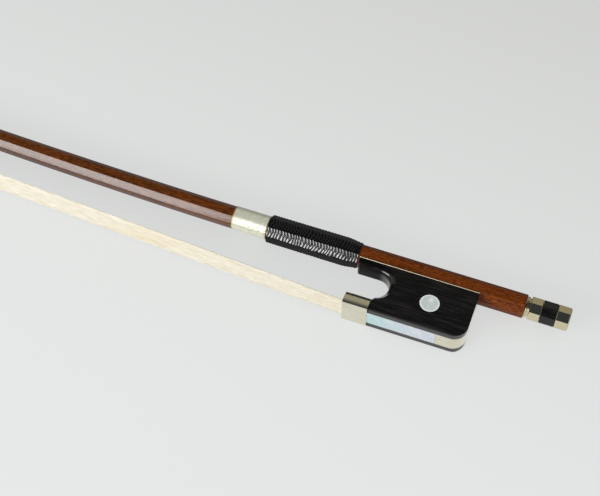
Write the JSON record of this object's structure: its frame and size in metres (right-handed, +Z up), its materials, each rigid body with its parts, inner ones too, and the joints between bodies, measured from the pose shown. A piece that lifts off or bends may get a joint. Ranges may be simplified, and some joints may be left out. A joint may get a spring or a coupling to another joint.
{
  "type": "cello bow",
  "caption": "Bow for a cello: octagonal wooden stick with a bent head, ebony frog that slides on a screw, ribbon of hair, wire winding and leather grip.",
  "frame": {"origin": "centre of the bounding box in plan, on the table that the bow lies on", "axes": "+X along the handle towards the button, +Y away from the hair, +Z up, out of the side that faces up when the bow lies on its side"},
  "size_m": [0.715, 0.0562, 0.0157],
  "materials": {
    "pernambuco": "varnished, satin",
    "ebony": "polished",
    "bone": "satin",
    "horsehair": "matt",
    "waxed_hair": "matt",
    "maple": "matt",
    "silver": "polished",
    "leather": "grained",
    "pearl": "polished mother of pearl",
    "brass": "satin",
    "steel": "satin"
  },
  "bodies": {
    "stick": {"stick": "pernambuco", "head_liner": "ebony", "head_plate": "bone", "head_plug": "maple", "head_knot": "waxed_hair", "hair_ribbon": "horsehair", "winding": "silver", "thumb_leather": "leather"},
    "frog": {"frog_body": "ebony", "underslide": "silver", "underslide_screw_front": "silver", "underslide_screw_back": "silver", "ferrule": "silver", "ferrule_wedge": "maple", "slide_backing": "ebony", "pearl_slide": "pearl", "heel_plate": "silver", "heel_pin_1": "silver", "heel_pin_2": "silver", "heel_pin_3": "silver", "heel_pin_4": "silver", "frog_plug": "maple", "frog_knot": "waxed_hair", "pearl_eye_near": "pearl", "pearl_eye_far": "pearl", "eyelet": "brass"},
    "screw": {"adjusting_screw": "steel", "button_front_ring": "silver", "button_core": "ebony", "button_rear_cap": "silver"}
  },
  "joints": [
    {"name": "frog_slide", "type": "slide", "parent": "stick", "child": "frog", "axis": [1, 0, 0], "range_m": [-0.0004, 0.006], "deforming": ["hair_ribbon"]},
    {"name": "screw_turn", "type": "hinge", "parent": "stick", "child": "screw", "pos_m": [0.33861, -0.00139, 0.00785], "axis": [-1, 0, 0], "range_deg": [-180.5, 2701]}
  ],
  "couplings": [
    {"joint": "screw_turn", "follows": "frog_slide", "rad_per_m": 7854}
  ]
}
